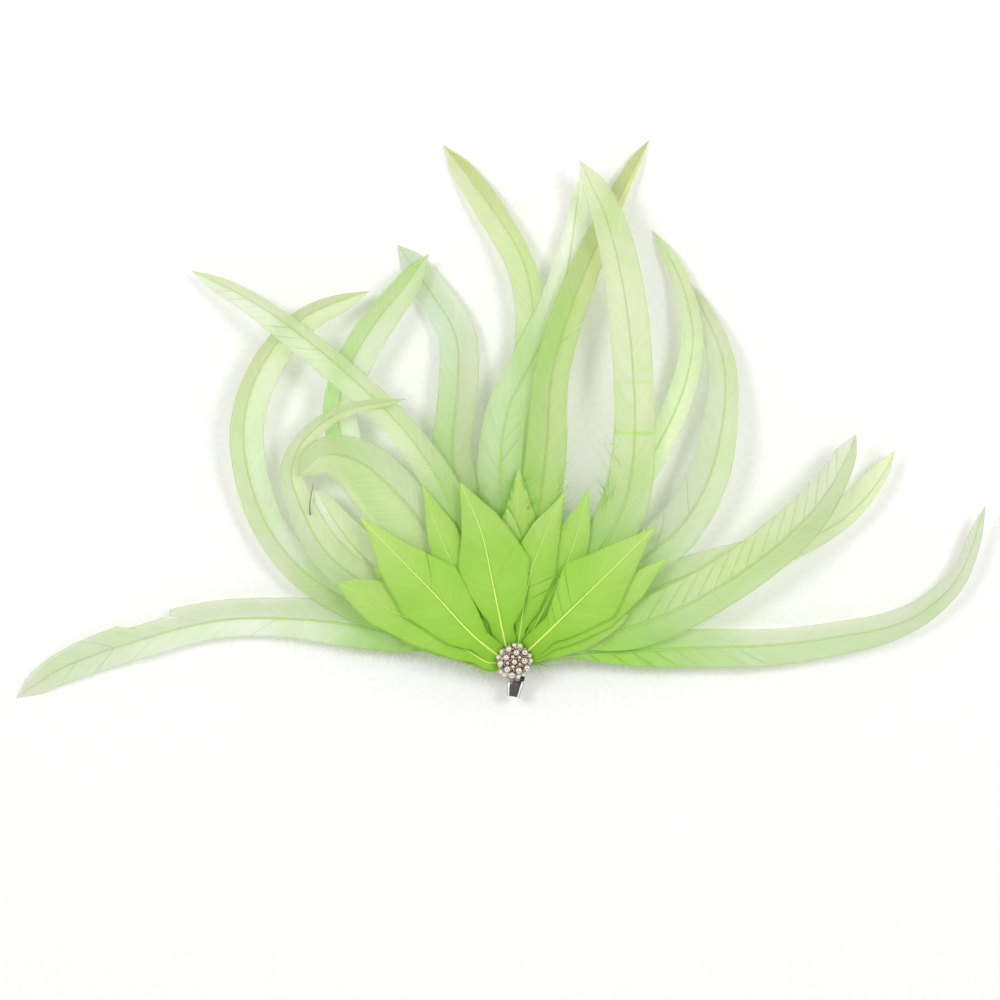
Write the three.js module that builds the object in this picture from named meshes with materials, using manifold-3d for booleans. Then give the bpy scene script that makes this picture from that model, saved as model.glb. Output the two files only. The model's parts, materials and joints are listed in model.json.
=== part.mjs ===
// Feather fascinator: a fan of long curled cock plumes behind short pointed cover feathers,
// with a pearl button over the quills and a spring clip underneath.
//
// Millimetres, +Z up. The headpiece lies face up, as on a table. The origin is on the flat underside
// of the clip's lower jaw, below the middle of the button. +Y runs up the fan, +X to its right.

import * as THREE from 'three';
import { mergeVertices } from 'three/addons/utils/BufferGeometryUtils.js';
import Module from 'manifold-3d';

const wasm = await Module();
wasm.setup();

// ---- driving dimensions ----

const GAP = 0.3; // clearance between pieces that lie against each other

const PLATE = 0.8; // clip's sheet steel
const CLIP_LEAN = THREE.MathUtils.degToRad(10); // clip's axis against the fan's own axis
const PIVOT_X = 1.8;
const PIVOT_Y = -5.6;
const PIVOT_Z = 4.5;
const TAB_REACH = 15; // pivot to the end of the thumb tabs
const JAW_REACH = 31; // pivot to the end of the jaws
const UPPER_TOP = 9.2; // top face of the upper jaw, where the pad is fixed
const UPPER_HALF = 4.7; // half the upper jaw's width
const LOWER_HALF = 3.6; // half the lower jaw's width between the upper jaw's ears
const FLANGE = 1.3; // width of the turned-up sides of the upper thumb tab
const PIN_R = 1.2;
const PIN_PLAY = 0.1; // the pin turns in the ears' holes with this clearance all round
const WIRE_R = 0.3; // spring wire
const COIL_R = PIN_R + GAP + WIRE_R;
const COIL_TURNS = 3.5;

const PAD_R = 9.6; // felt pad under the quills
const PAD_THICK = 1.5;
const PAD_BASE = UPPER_TOP + GAP;
const QUILL_R = 0.45;
const ROOT_R = 7.5; // how far from the middle the quills start
const PLUME_ROOT_Z = PAD_BASE + PAD_THICK + GAP + QUILL_R + 0.15;
const COVER_ROOT_Z = PLUME_ROOT_Z + 1.4;
const FIRST_PLUME_DEGREES = 174; // where the quills stand round the button, from +X towards +Y
const LAST_PLUME_DEGREES = 5;
const TOP_PAD_R = 7.9;
const TOP_PAD_BASE = COVER_ROOT_Z + QUILL_R + 0.4 + GAP;
const TOP_PAD_THICK = 1.2;

const BUTTON_R = 9.8;
const BUTTON_BASE = TOP_PAD_BASE + TOP_PAD_THICK + GAP;
const BUTTON_EDGE = 1.2; // thickness of the button's plate at its rim
const BUTTON_DOME = 1.1; // extra height of the plate at its middle
const PEARL_R = 2;
const STONE_R = 0.9;

const VANE_EDGE = 0.15; // half the vane's thickness at its edges
const VANE_CUP = 0.06; // how far an edge droops, as a share of the half-width
const END_FULLNESS = 0.65; // a grown feather's reach close to its point, against that before it

const group = new THREE.Group();

// ---- helpers ----

function material(color, roughness, metalness) {
  return new THREE.MeshStandardMaterial({ color, roughness, metalness });
}

function addMesh(parent, name, geometry, look) {
  const mesh = new THREE.Mesh(geometry, look);
  mesh.name = name;
  parent.add(mesh);
  return mesh;
}

function solidOf(geometry) {
  const bare = geometry.clone();
  bare.deleteAttribute('normal');
  bare.deleteAttribute('uv');
  const merged = mergeVertices(bare, 1e-4);
  return new wasm.Manifold(
    new wasm.Mesh({
      numProp: 3,
      vertProperties: new Float32Array(merged.attributes.position.array),
      triVerts: new Uint32Array(merged.index.array),
    }),
  );
}

function geometryOf(solid) {
  const mesh = solid.getMesh();
  const geometry = new THREE.BufferGeometry();
  geometry.setAttribute('position', new THREE.BufferAttribute(mesh.vertProperties, 3));
  geometry.setIndex(new THREE.BufferAttribute(mesh.triVerts, 1));
  return geometry;
}

// A side view drawn in Y and Z, made into a solid from x = from to x = to.
function sideSolid(shape, from, to) {
  const geometry = new THREE.ExtrudeGeometry(shape, {
    depth: to - from,
    bevelEnabled: false,
    curveSegments: 12,
  });
  const x = new THREE.Vector3(1, 0, 0);
  const y = new THREE.Vector3(0, 1, 0);
  const z = new THREE.Vector3(0, 0, 1);
  geometry.applyMatrix4(new THREE.Matrix4().makeBasis(y, z, x));
  geometry.translate(from, 0, 0);
  return solidOf(geometry);
}

// A plan view drawn in X and Y, made into a solid from z = from to z = to.
function planSolid(shape, from, to) {
  const geometry = new THREE.ExtrudeGeometry(shape, { depth: to - from, bevelEnabled: false });
  geometry.translate(0, 0, from);
  return solidOf(geometry);
}

// The side view of a bent strip: a line of [y, z] points with a thickness below it.
function stripShape(top, thickness) {
  const points = top.map(([y, z]) => new THREE.Vector2(y, z));
  const under = points.map((p, i) => {
    const before = points[Math.max(i - 1, 0)];
    const after = points[Math.min(i + 1, points.length - 1)];
    const along = after.clone().sub(before).normalize();
    return new THREE.Vector2(p.x + along.y * thickness, p.y - along.x * thickness);
  });
  return new THREE.Shape([...points, ...under.reverse()]);
}

// A plan outline that is the same on both sides of the Y axis: half-widths at places along Y.
function mirroredOutline(stations, inset = 0) {
  const right = stations.map(([y, half]) => new THREE.Vector2(half - inset, y));
  const left = stations.map(([y, half]) => new THREE.Vector2(inset - half, y));
  return new THREE.Shape([...right, ...left.reverse()]);
}

function boxSolid(width, depth, height, x, y, z) {
  const geometry = new THREE.BoxGeometry(width, depth, height);
  geometry.translate(x, y, z);
  return solidOf(geometry);
}

// ---- spring clip ----

const clip = new THREE.Group();
clip.position.set(PIVOT_X, PIVOT_Y, 0);
clip.rotation.z = -CLIP_LEAN;
group.add(clip);

// An ear is a plate beside the pin, round about the pivot and straight to the web above or below it.
function earShape(radius, webZ) {
  const shape = new THREE.Shape();
  const hangs = webZ > PIVOT_Z;
  const side = hangs ? -1 : 1;
  const from = hangs ? Math.PI : 0;
  shape.moveTo(side * radius, webZ);
  shape.lineTo(side * radius, PIVOT_Z);
  shape.absarc(0, PIVOT_Z, radius, from, from + Math.PI);
  shape.lineTo(-side * radius, webZ);
  shape.closePath();
  const hole = new THREE.Path();
  hole.absarc(0, PIVOT_Z, PIN_R + PIN_PLAY, 0, 2 * Math.PI, true);
  shape.holes.push(hole);
  return shape;
}

// Slots at the end of a jaw leave teeth between them.
function toothSlots(z, depth) {
  return [-2.4, 0, 2.4].map((x) => boxSolid(1, 3, depth, x, JAW_REACH, z));
}

function upperJaw() {
  const topLine = [
    [-TAB_REACH, UPPER_TOP + 1.9],
    [-7.5, UPPER_TOP + 0.4],
    [-4.5, UPPER_TOP],
    [17, UPPER_TOP],
    [23, UPPER_TOP - 1.2],
    [28, UPPER_TOP - 3.6],
    [JAW_REACH, 4.2],
  ];
  const outline = [
    [-TAB_REACH - 1, 3.3],
    [-6.5, UPPER_HALF - 0.2],
    [-3, UPPER_HALF],
    [20, UPPER_HALF],
    [JAW_REACH + 2, 3.8],
  ];
  const web = sideSolid(stripShape(topLine, PLATE), -6, 6).intersect(
    planSolid(mirroredOutline(outline), 0, 20),
  );
  const flangeLine = [
    [-TAB_REACH, UPPER_TOP + 3.2],
    [-8.5, UPPER_TOP + 1.9],
    [-5.4, UPPER_TOP - 0.1],
  ];
  const flanges = sideSolid(stripShape(flangeLine, 1.7), -6, 6)
    .intersect(planSolid(mirroredOutline(outline), 0, 20))
    .subtract(planSolid(mirroredOutline(outline, FLANGE), 0, 20));
  const ear = earShape(3.2, UPPER_TOP - PLATE / 2);
  let jaw = web.add(flanges);
  jaw = jaw.add(sideSolid(ear, LOWER_HALF + GAP, UPPER_HALF));
  jaw = jaw.add(sideSolid(ear, -UPPER_HALF, -LOWER_HALF - GAP));
  for (const slot of toothSlots(4, 4)) {
    jaw = jaw.subtract(slot);
  }
  return geometryOf(jaw);
}

function lowerJaw() {
  const topLine = [
    [-TAB_REACH, PLATE],
    [27, PLATE],
    [28, PLATE + 0.2],
    [JAW_REACH - 0.3, PLATE + 2],
  ];
  const outline = [
    [-TAB_REACH - 1, 3],
    [-6, LOWER_HALF],
    [4, LOWER_HALF],
    [6, UPPER_HALF - 0.2],
    [24, UPPER_HALF - 0.2],
    [JAW_REACH + 1, 3.6],
  ];
  const ear = earShape(3, PLATE / 2);
  let jaw = sideSolid(stripShape(topLine, PLATE), -6, 6).intersect(
    planSolid(mirroredOutline(outline), -5, 5),
  );
  jaw = jaw.add(sideSolid(ear, LOWER_HALF - PLATE, LOWER_HALF));
  jaw = jaw.add(sideSolid(ear, -LOWER_HALF, PLATE - LOWER_HALF));
  for (const slot of toothSlots(3, 4)) {
    jaw = jaw.subtract(slot);
  }
  return geometryOf(jaw);
}

function hingePin() {
  const headR = 1.9;
  const inner = UPPER_HALF + GAP;
  const outer = inner + 0.7;
  const profile = [
    [0, -outer],
    [headR - 0.3, -outer],
    [headR, -inner - 0.3],
    [headR, -inner],
    [PIN_R, -inner],
    [PIN_R, inner],
    [headR, inner],
    [headR, inner + 0.3],
    [headR - 0.3, outer],
    [0, outer],
  ];
  const geometry = new THREE.LatheGeometry(
    profile.map(([r, y]) => new THREE.Vector2(r, y)),
    20,
  );
  geometry.rotateZ(Math.PI / 2);
  geometry.translate(0, 0, PIVOT_Z);
  return geometry;
}

// The wire comes in along the lower tab, winds about the pin and leaves under the upper tab.
function torsionSpring() {
  const halfSpan = 1.6;
  const legEnd = -9;
  const stepsPerTurn = 12;
  const points = [new THREE.Vector3(-halfSpan, legEnd, 1.5)];
  points.push(new THREE.Vector3(-halfSpan, legEnd / 2, 1.9));
  const steps = Math.round(COIL_TURNS * stepsPerTurn);
  for (let i = 0; i <= steps; i++) {
    const turn = (i / stepsPerTurn) * 2 * Math.PI - Math.PI / 2;
    const x = THREE.MathUtils.lerp(-halfSpan, halfSpan, i / steps);
    points.push(new THREE.Vector3(x, COIL_R * Math.cos(turn), PIVOT_Z + COIL_R * Math.sin(turn)));
  }
  points.push(new THREE.Vector3(halfSpan, legEnd / 2, 7.2));
  points.push(new THREE.Vector3(halfSpan, legEnd, 8.2));
  const section = new THREE.Shape();
  section.absarc(0, 0, WIRE_R, 0, 2 * Math.PI);
  return new THREE.ExtrudeGeometry(section, {
    extrudePath: new THREE.CatmullRomCurve3(points, false, 'centripetal'),
    steps: 72,
    curveSegments: 3,
    bevelEnabled: false,
  });
}

const chromed = () => material(0xc9c6c0, 0.2, 1);
addMesh(clip, 'upper_jaw', upperJaw(), chromed());
addMesh(clip, 'lower_jaw', lowerJaw(), chromed());
addMesh(clip, 'hinge_pin', hingePin(), chromed());
addMesh(clip, 'torsion_spring', torsionSpring(), material(0x8f8f8f, 0.3, 1));

// ---- felt pads ----

function disc(radius, thickness, base) {
  const geometry = new THREE.CylinderGeometry(radius, radius, thickness, 36);
  geometry.rotateX(Math.PI / 2);
  geometry.translate(0, 0, base + thickness / 2);
  return geometry;
}

addMesh(group, 'felt_pad', disc(PAD_R, PAD_THICK, PAD_BASE), material(0x8fbf3c, 1, 0));
addMesh(group, 'top_felt', disc(TOP_PAD_R, TOP_PAD_THICK, TOP_PAD_BASE), material(0x8fbf3c, 1, 0));

// ---- pearl button ----

const button = new THREE.Group();
button.position.z = BUTTON_BASE;
group.add(button);

function domeTop(distance) {
  const share = distance / BUTTON_R;
  return BUTTON_EDGE + BUTTON_DOME * (1 - share * share);
}

function buttonPlate() {
  const profile = [new THREE.Vector2(0, 0), new THREE.Vector2(BUTTON_R - 0.6, 0)];
  profile.push(new THREE.Vector2(BUTTON_R, 0.5));
  for (let i = 6; i >= 0; i--) {
    const r = (BUTTON_R * i) / 6;
    profile.push(new THREE.Vector2(r, domeTop(r)));
  }
  const geometry = new THREE.LatheGeometry(profile, 36);
  geometry.rotateX(Math.PI / 2);
  return geometry;
}

// [x, y, radius] of each pearl, scattered as they were glued
const pearls = [
  [-3.2, 6.7, PEARL_R],
  [1.1, 4.7, PEARL_R],
  [5.7, 4.9, PEARL_R],
  [-4.7, 1.9, PEARL_R],
  [5.6, 0.1, PEARL_R],
  [-7.9, -1.4, PEARL_R],
  [0.1, -0.5, PEARL_R - 0.2],
  [-4, -4.5, PEARL_R],
  [2.4, -5.3, PEARL_R],
  [7.1, -3.9, PEARL_R],
  [-1.4, -7.9, PEARL_R],
];

// [x, y] of each cut stone on the rim
const rimStones = [
  [-0.1, 8.7],
  [3, 8.3],
  [-7.1, 5.1],
  [-9.1, 2],
  [8.3, 2.9],
  [8.9, -0.1],
  [-7.6, -6],
  [-5.7, -7.6],
  [2.2, -8.7],
  [5, -7.5],
];

function pearl(radius) {
  const geometry = new THREE.SphereGeometry(radius, 12, 8);
  geometry.rotateX(Math.PI / 2);
  return geometry;
}

function stone() {
  const profile = [
    [0, 0],
    [STONE_R * 0.8, 0.3],
    [STONE_R, 0.7],
    [STONE_R * 0.6, 1.2],
    [0, 1.2],
  ];
  const geometry = new THREE.LatheGeometry(
    profile.map(([r, y]) => new THREE.Vector2(r, y)),
    8,
  );
  geometry.rotateX(Math.PI / 2);
  return geometry;
}

function twoDigits(index) {
  return String(index + 1).padStart(2, '0');
}

addMesh(button, 'button_plate', buttonPlate(), material(0xb79a6e, 0.35, 1));
pearls.forEach(([x, y, radius], i) => {
  const mesh = addMesh(button, `pearl_${twoDigits(i)}`, pearl(radius), material(0xf1ece4, 0.2, 0));
  mesh.position.set(x, y, domeTop(Math.hypot(x, y)) + GAP + radius);
});
rimStones.forEach(([x, y], i) => {
  const mesh = addMesh(button, `rim_stone_${twoDigits(i)}`, stone(), material(0xe9e2d6, 0.1, 0));
  mesh.position.set(x, y, domeTop(Math.hypot(x, y)) + GAP);
});

// ---- feathers ----

// A feather is one solid: a quill that widens into a thin vane with a raised shaft, ending in a
// point. Its line runs from the root ring through hand-set points to the tip, and left and right give
// how far the vane reaches beside the shaft at a quarter, a half, three quarters and nine tenths of
// its length. A trimmed feather has straight cut edges between those places, and a grown one keeps
// its end full until close to its point.
function feather({ rootAngle, rootZ, points, left, right, stations, bare, trimmed }) {
  const direction = new THREE.Vector3(Math.cos(rootAngle), Math.sin(rootAngle), 0);
  const risenZ = THREE.MathUtils.lerp(rootZ, points[0][2], 0.35);
  const start = [
    direction.clone().multiplyScalar(ROOT_R).setZ(rootZ),
    direction.clone().multiplyScalar(ROOT_R + 5.5).setZ(risenZ),
  ];
  const path = [...start, ...points.map((p) => new THREE.Vector3(...p))];
  const line = new THREE.CatmullRomCurve3(path, false, 'centripetal');
  const places = [0, bare / line.getLength(), 0.25, 0.5, 0.75, 0.9];
  const values = [
    [QUILL_R, QUILL_R],
    [QUILL_R, QUILL_R],
    ...left.map((reach, i) => [reach, right[i]]),
  ];
  if (!trimmed) {
    places.push(0.96);
    values.push([left[3] * END_FULLNESS, right[3] * END_FULLNESS]);
  }
  places.push(1);
  values.push([0, 0]);
  const Interpolant = trimmed ? THREE.LinearInterpolant : THREE.CubicInterpolant;
  const reaches = new Interpolant(places, values.flat(), 2);
  const up = new THREE.Vector3(0, 0, 1);
  const positions = [];
  const triangles = [];
  const ring = 6;
  for (let i = 0; i < stations; i++) {
    const u = i / stations;
    const centre = line.getPointAt(u);
    const along = line.getTangentAt(u);
    const side = new THREE.Vector3().crossVectors(along, up).normalize();
    const normal = new THREE.Vector3().crossVectors(side, along);
    const [toLeft, toRight] = [...reaches.evaluate(u)].map((reach) => Math.max(reach, QUILL_R));
    const shaft = THREE.MathUtils.lerp(QUILL_R + 0.05, 0.22, u);
    const droop = (reach) => Math.max(reach - 2 * QUILL_R, 0) * VANE_CUP;
    const corners = [
      [-toLeft, -droop(toLeft) - VANE_EDGE],
      [-toLeft, -droop(toLeft) + VANE_EDGE],
      [0, shaft],
      [toRight, -droop(toRight) + VANE_EDGE],
      [toRight, -droop(toRight) - VANE_EDGE],
      [0, -shaft],
    ];
    for (const [across, above] of corners) {
      const p = centre.clone().addScaledVector(side, across).addScaledVector(normal, above);
      positions.push(p.x, p.y, p.z);
    }
  }
  const tip = line.getPointAt(1);
  positions.push(tip.x, tip.y, tip.z);
  for (let k = 1; k < ring - 1; k++) {
    triangles.push(0, k + 1, k);
  }
  for (let i = 0; i < stations - 1; i++) {
    for (let k = 0; k < ring; k++) {
      const a = i * ring + k;
      const b = i * ring + ((k + 1) % ring);
      triangles.push(a, b, a + ring, b, b + ring, a + ring);
    }
  }
  const last = (stations - 1) * ring;
  for (let k = 0; k < ring; k++) {
    triangles.push(last + k, last + ((k + 1) % ring), stations * ring);
  }
  const geometry = new THREE.BufferGeometry();
  geometry.setAttribute('position', new THREE.BufferAttribute(new Float32Array(positions), 3));
  geometry.setIndex(triangles);
  return geometry;
}

// The long plumes, from the left of the fan to its right.
const plumes = [
  {
    // low on the left, almost straight
    left: [12, 10, 10.5, 8.5],
    right: [12, 11.5, 11.5, 8.5],
    points: [[-42, 9, 12.2], [-81, 18, 10.4], [-124, 23, 9], [-167, 22, 8], [-214, 10, 6],
      [-255, -5, 3], [-281, -22, 0.8]],
  },
  {
    // the big loop on the left
    left: [9, 8.5, 6.5, 5],
    right: [9.5, 10.5, 11.5, 8.5],
    points: [[-42, 14, 13.9], [-75, 25, 13.3], [-115, 47, 10], [-138, 74, 11], [-150, 108, 14],
      [-151, 138, 17], [-140, 167, 18], [-118, 192, 17], [-81, 207, 14]],
  },
  {
    // pale fill inside the loops
    left: [9, 12, 11, 7],
    right: [9, 12, 11, 7],
    points: [[-38, 22, 15.4], [-66, 42, 15.4], [-92, 66, 14.8], [-112, 96, 14]],
  },
  {
    // the inner hook, which ends over the straight plume
    left: [9, 9, 5, 3],
    right: [9, 9, 5, 3],
    points: [[-42, 24, 16.8], [-80, 41, 17], [-105, 60, 17], [-119, 85, 16.6], [-125, 105, 16.8],
      [-117, 124, 18.8], [-96, 139, 25], [-60, 146, 32]],
  },
  {
    // mint, up to the top left
    left: [8, 8, 8.5, 7],
    right: [8, 10, 11.5, 8.5],
    points: [[-30, 32, 12.6], [-62, 72, 13], [-89, 108, 14], [-98.5, 132, 16], [-95, 158, 18],
      [-80, 186, 18], [-62, 209, 15], [-48, 228, 11]],
  },
  {
    // under the drooping feather
    left: [6, 8, 8, 5],
    right: [6, 8, 8, 5],
    points: [[-32, 38, 14.5], [-58, 68, 15.1], [-78, 90, 16.2], [-92, 106, 17]],
  },
  {
    // broad, with its end turned down to the left
    left: [9, 12.5, 13, 9],
    right: [9, 12.5, 13, 9],
    points: [[-26, 38, 16.2], [-45, 68, 16.8], [-66, 94, 18.4], [-88, 112, 21], [-107, 115, 22],
      [-121, 103, 21.5]],
  },
  {
    // straight, to the upper left, over its neighbours
    left: [9, 9, 10, 6.5],
    right: [9, 7, 5.5, 4.5],
    points: [[-18, 42, 17.8], [-31, 76, 18.5], [-44, 104, 20.4], [-66, 134, 23], [-93, 160, 25],
      [-122, 184, 24], [-150, 203, 17], [-182, 219, 5]],
  },
  {
    left: [10, 11, 10, 7.5],
    right: [10, 11, 11.5, 9.5],
    points: [[-12, 42, 13], [-26, 80, 13.4], [-35, 115, 13.6], [-32, 150, 13], [-33, 182, 9],
      [-48, 208, 4.5], [-66, 234, 0.6]],
  },
  {
    // pale, from the left of the middle across the tallest to the top
    left: [12, 12, 10.5, 4.5],
    right: [12, 11.5, 9, 7.5],
    points: [[-3, 45, 14.4], [-6, 79, 14.8], [-8, 110, 15.4], [-4, 139, 16.2], [5, 158, 16.8],
      [15, 177, 16.8], [23, 194, 15.8], [29, 215, 14], [33, 240, 11], [37, 274, 6]],
  },
  {
    // the tallest on the left of the middle, under the pale one
    left: [9, 8.5, 10.5, 8.5],
    right: [9, 8.5, 5.5, 6.5],
    points: [[2, 45, 12.6], [2, 80, 12.6], [2, 110, 12.6], [5, 140, 12.8], [8.5, 170, 13.2],
      [10, 200, 14], [5, 224, 13], [-12, 253, 8], [-40, 290, 0.6]],
  },
  {
    // from the middle to the far top right
    left: [11, 10, 9, 6.5],
    right: [11, 10, 7, 2.5],
    points: [[8, 45, 16], [14, 87, 17], [18, 120, 19], [20, 155, 21.5], [28, 187, 22],
      [42, 223, 18], [58, 257, 10], [76, 293, 0.6]],
  },
  {
    // the broad upright one right of the middle
    left: [13, 11.5, 10, 7],
    right: [13, 11, 11.5, 9.5],
    points: [[34, 42, 17.4], [51, 66, 17.8], [63, 92, 18.4], [67, 125, 23], [66, 160, 28],
      [61, 205, 30], [51, 247, 26], [36, 280, 20]],
  },
  {
    // narrow, right of the upright one
    left: [9, 8, 7, 5],
    right: [9, 8, 6, 4.5],
    points: [[34, 44, 14.2], [60, 88, 13.6], [80, 120, 14.5], [95, 153, 15], [100, 182, 13],
      [93, 215, 7], [78, 242, 0.6]],
  },
  {
    // the outer curve on the upper right
    left: [12, 13, 10, 6],
    right: [12, 11.5, 7, 5.5],
    points: [[36, 32, 15.6], [67, 54, 15.9], [92, 74, 17], [109, 103, 19], [117, 138, 19],
      [117, 168, 13], [98, 214, 0.6]],
  },
  {
    // pale, behind the large one on the right
    left: [11, 10, 10.5, 9],
    right: [11, 10, 6.5, 3.5],
    points: [[38, 21, 12.6], [76, 39, 12.8], [110, 52, 12.8], [149, 62, 13], [184, 79, 13],
      [204, 100, 12], [214, 118, 10]],
  },
  {
    // the large one on the right
    left: [12, 14, 13, 9],
    right: [12, 12, 11, 6.5],
    points: [[38, 11, 17], [67, 19, 17.6], [100, 33, 19.5], [132, 53, 23], [162, 79, 25],
      [180, 103, 23], [191, 127, 19]],
  },
  {
    // low on the right, with its end turned up
    left: [10, 9, 8, 5],
    right: [10, 11.5, 7, 4.5],
    points: [[38, 3, 13.4], [68, 5, 12.5], [104, 7, 11.5], [140, 8, 11], [175, 12, 10.5],
      [212, 19, 10], [232, 29, 10], [250, 48, 11], [264, 87, 14]],
  },
];

// The short pointed feathers that cover the plumes' roots, from left to right.
const covers = [
  {
    rootDegrees: 198,
    left: [6, 8.5, 7, 3],
    right: [6, 9.5, 8, 4],
    points: [[-28, 6, 17], [-52, 14, 18.4], [-76, 20, 19]],
  },
  {
    rootDegrees: 188,
    left: [8, 12, 12, 7],
    right: [8, 13, 13.5, 8.5],
    points: [[-28, 7, 20.7], [-64, 26, 21.7], [-99, 43.5, 22]],
  },
  {
    rootDegrees: 178,
    left: [7, 12, 10, 6],
    right: [7, 12, 9, 6],
    points: [[-24, 11, 18.9], [-50, 31, 19.5], [-79, 52, 19.8]],
  },
  {
    // the large one on the left, over its neighbours
    rootDegrees: 168,
    left: [13, 21, 13, 3],
    right: [11, 19, 8.5, 4],
    points: [[-19.5, 9.2, 22.3], [-41, 33.6, 24.8], [-63.5, 56.8, 25.4], [-87, 81, 25.4]],
  },
  {
    rootDegrees: 150,
    left: [8, 12.5, 6.5, 2],
    right: [8, 12, 10, 4],
    points: [[-20, 26, 21.4], [-34, 53, 21.7], [-43, 74, 22], [-51.5, 99, 22.4]],
  },
  {
    // the large one left of the middle
    rootDegrees: 126,
    left: [9.5, 18.5, 10, 4],
    right: [15, 23, 12, 4.5],
    points: [[-8.5, 24, 22.8], [-13.5, 50, 23.9], [-18.5, 72, 24.4], [-30.5, 100.5, 24.6]],
  },
  {
    rootDegrees: 106,
    left: [6, 11, 8, 4.5],
    right: [6, 11, 8, 4.5],
    points: [[-2, 28, 18.8], [-3, 58, 19.4], [-4, 86, 19.6]],
  },
  {
    rootDegrees: 92,
    left: [6, 9, 7, 3],
    right: [7, 13, 10, 4],
    points: [[1, 28, 17.6], [1, 70, 18.2], [2.5, 108, 18.6]],
  },
  {
    rootDegrees: 78,
    left: [7, 12.5, 8.5, 2.5],
    right: [9, 14, 7.5, 3],
    points: [[5, 30, 20.4], [10, 52, 21], [16, 68, 21.3], [28.5, 95.5, 21.6]],
  },
  {
    rootDegrees: 58,
    left: [7, 12, 10, 3.5],
    right: [7, 12, 7, 2.5],
    points: [[17, 30, 18.9], [30, 57, 19.4], [37, 78, 19.8], [41.5, 97, 20]],
  },
  {
    // the large one on the right, over its neighbours
    rootDegrees: 34,
    left: [7, 20.5, 10.5, 4],
    right: [11, 19.5, 10, 3.5],
    points: [[20, 17.5, 23.2], [45, 42, 24.4], [79, 75.5, 24.8]],
  },
  {
    rootDegrees: 20,
    left: [7, 9, 5.5, 2.5],
    right: [7, 12.5, 9.5, 3.5],
    points: [[26, 14, 21], [56, 36, 21.9], [85.5, 58, 22.3]],
  },
  {
    rootDegrees: 8,
    left: [6, 9, 7, 4],
    right: [6, 9, 7, 4],
    points: [[27, 10, 18.7], [45, 18, 19.6], [64, 26, 19.8]],
  },
];

const plumeMake = { rootZ: PLUME_ROOT_Z, stations: 20, bare: 14, trimmed: false };
const coverMake = { rootZ: COVER_ROOT_Z, stations: 12, bare: 6, trimmed: true };

// The plumes' roots stand evenly along an arc about the middle of the button.
plumes.forEach(({ left, right, points }, i) => {
  const share = i / (plumes.length - 1);
  const degrees = THREE.MathUtils.lerp(FIRST_PLUME_DEGREES, LAST_PLUME_DEGREES, share);
  const rootAngle = THREE.MathUtils.degToRad(degrees);
  const shape = feather({ rootAngle, points, left, right, ...plumeMake });
  addMesh(group, `plume_${twoDigits(i)}`, shape, material(0xcfe8a9, 0.6, 0));
});

covers.forEach(({ rootDegrees, points, left, right }, i) => {
  const rootAngle = THREE.MathUtils.degToRad(rootDegrees);
  const shape = feather({ rootAngle, points, left, right, ...coverMake });
  addMesh(group, `cover_feather_${twoDigits(i)}`, shape, material(0x9fd83f, 0.6, 0));
});

export default group;
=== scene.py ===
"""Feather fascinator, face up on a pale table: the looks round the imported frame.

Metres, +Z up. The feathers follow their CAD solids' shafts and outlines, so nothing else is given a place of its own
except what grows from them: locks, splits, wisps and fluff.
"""

import json
import math
import random

import bmesh
import bpy
import numpy as np
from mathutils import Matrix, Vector


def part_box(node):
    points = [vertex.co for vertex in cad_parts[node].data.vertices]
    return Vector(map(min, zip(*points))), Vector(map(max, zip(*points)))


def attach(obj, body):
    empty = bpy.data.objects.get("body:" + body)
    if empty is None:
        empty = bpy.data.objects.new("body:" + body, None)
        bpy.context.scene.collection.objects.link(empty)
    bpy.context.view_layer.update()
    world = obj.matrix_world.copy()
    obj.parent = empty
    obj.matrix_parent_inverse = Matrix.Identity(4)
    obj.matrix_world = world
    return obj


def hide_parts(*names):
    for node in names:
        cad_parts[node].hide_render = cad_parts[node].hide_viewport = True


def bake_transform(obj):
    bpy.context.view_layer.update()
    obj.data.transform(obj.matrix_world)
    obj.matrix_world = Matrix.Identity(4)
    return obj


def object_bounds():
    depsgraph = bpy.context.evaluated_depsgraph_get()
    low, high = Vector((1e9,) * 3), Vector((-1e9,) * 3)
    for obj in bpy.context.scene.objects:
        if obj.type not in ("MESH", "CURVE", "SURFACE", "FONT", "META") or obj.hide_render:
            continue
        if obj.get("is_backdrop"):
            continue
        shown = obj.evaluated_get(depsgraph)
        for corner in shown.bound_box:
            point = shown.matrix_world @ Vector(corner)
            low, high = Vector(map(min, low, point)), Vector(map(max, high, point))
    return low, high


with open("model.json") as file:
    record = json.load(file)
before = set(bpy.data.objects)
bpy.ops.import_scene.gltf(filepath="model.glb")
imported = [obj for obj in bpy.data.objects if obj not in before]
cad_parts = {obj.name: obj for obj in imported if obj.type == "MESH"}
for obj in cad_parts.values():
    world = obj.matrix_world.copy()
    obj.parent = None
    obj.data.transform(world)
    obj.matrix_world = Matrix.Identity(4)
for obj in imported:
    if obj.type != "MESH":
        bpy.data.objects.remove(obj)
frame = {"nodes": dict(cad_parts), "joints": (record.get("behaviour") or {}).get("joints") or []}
cad_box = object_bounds()
nodes = frame["nodes"]
scene = bpy.context.scene

MM = 0.001
UP = np.array((0.0, 0.0, 1.0))


# ---- colour and material helpers ----


def srgb(red, green, blue):
    """Linear colour with alpha from 0 to 255 display values."""
    linear = []
    for value in (red, green, blue):
        share = value / 255
        linear.append(share / 12.92 if share <= 0.04045 else ((share + 0.055) / 1.055) ** 2.4)
    return (*linear, 1.0)


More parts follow.
